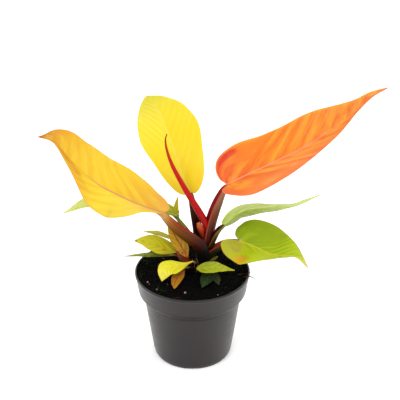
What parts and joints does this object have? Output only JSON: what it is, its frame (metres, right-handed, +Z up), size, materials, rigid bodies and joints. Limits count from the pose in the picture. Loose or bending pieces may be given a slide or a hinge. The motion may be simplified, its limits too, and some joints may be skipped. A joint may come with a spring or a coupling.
{
  "type": "potted philodendron",
  "caption": "Young foliage plant with arching channelled stalks, broad pointed yellow, orange and green leaves and a rolled red new leaf, growing from soil in a round tapered pot.",
  "frame": {"origin": "centre of the pot's foot on the surface it stands on", "axes": "+Z up along the pot's axis, +X to the plant's right as seen from its front, -Y to its front"},
  "size_m": [0.3553, 0.198, 0.2705],
  "materials": {
    "pot_plastic": "satin",
    "soil": "matte",
    "stalk_brown": "satin",
    "new_leaf_red": "satin",
    "leaf_orange": "satin",
    "leaf_amber": "satin",
    "leaf_yellow": "satin",
    "leaf_lime": "satin",
    "leaf_green": "satin",
    "leaf_pale_green": "satin",
    "leaf_dark_green": "satin",
    "leaf_rust": "satin"
  },
  "bodies": {
    "root": {"pot": "pot_plastic", "soil": "soil", "stem": "stalk_brown", "stalk_left": "stalk_brown", "stalk_right": "stalk_brown", "stalk_low_right": "stalk_brown", "stalk_side": "stalk_brown", "stalk_centre": "stalk_brown", "stalk_rear_left": "leaf_lime", "new_leaf": "new_leaf_red", "new_leaf_sheath": "leaf_orange", "shoot_left": "stalk_brown", "shoot_front": "stalk_brown", "shoot_right": "stalk_brown", "leaf_right": "leaf_orange", "leaf_left": "leaf_amber", "leaf_centre": "leaf_yellow", "leaf_side": "leaf_pale_green", "leaf_low_right": "leaf_green", "leaf_rear_left": "leaf_lime", "young_left_1": "leaf_lime", "young_left_2": "leaf_lime", "young_left_3": "leaf_green", "young_left_4": "leaf_amber", "young_left_5": "leaf_rust", "young_front_1": "leaf_yellow", "young_front_2": "leaf_rust", "young_right_1": "leaf_lime", "young_right_2": "leaf_dark_green", "young_right_3": "leaf_dark_green", "young_rear": "leaf_yellow"}
  },
  "joints": []
}
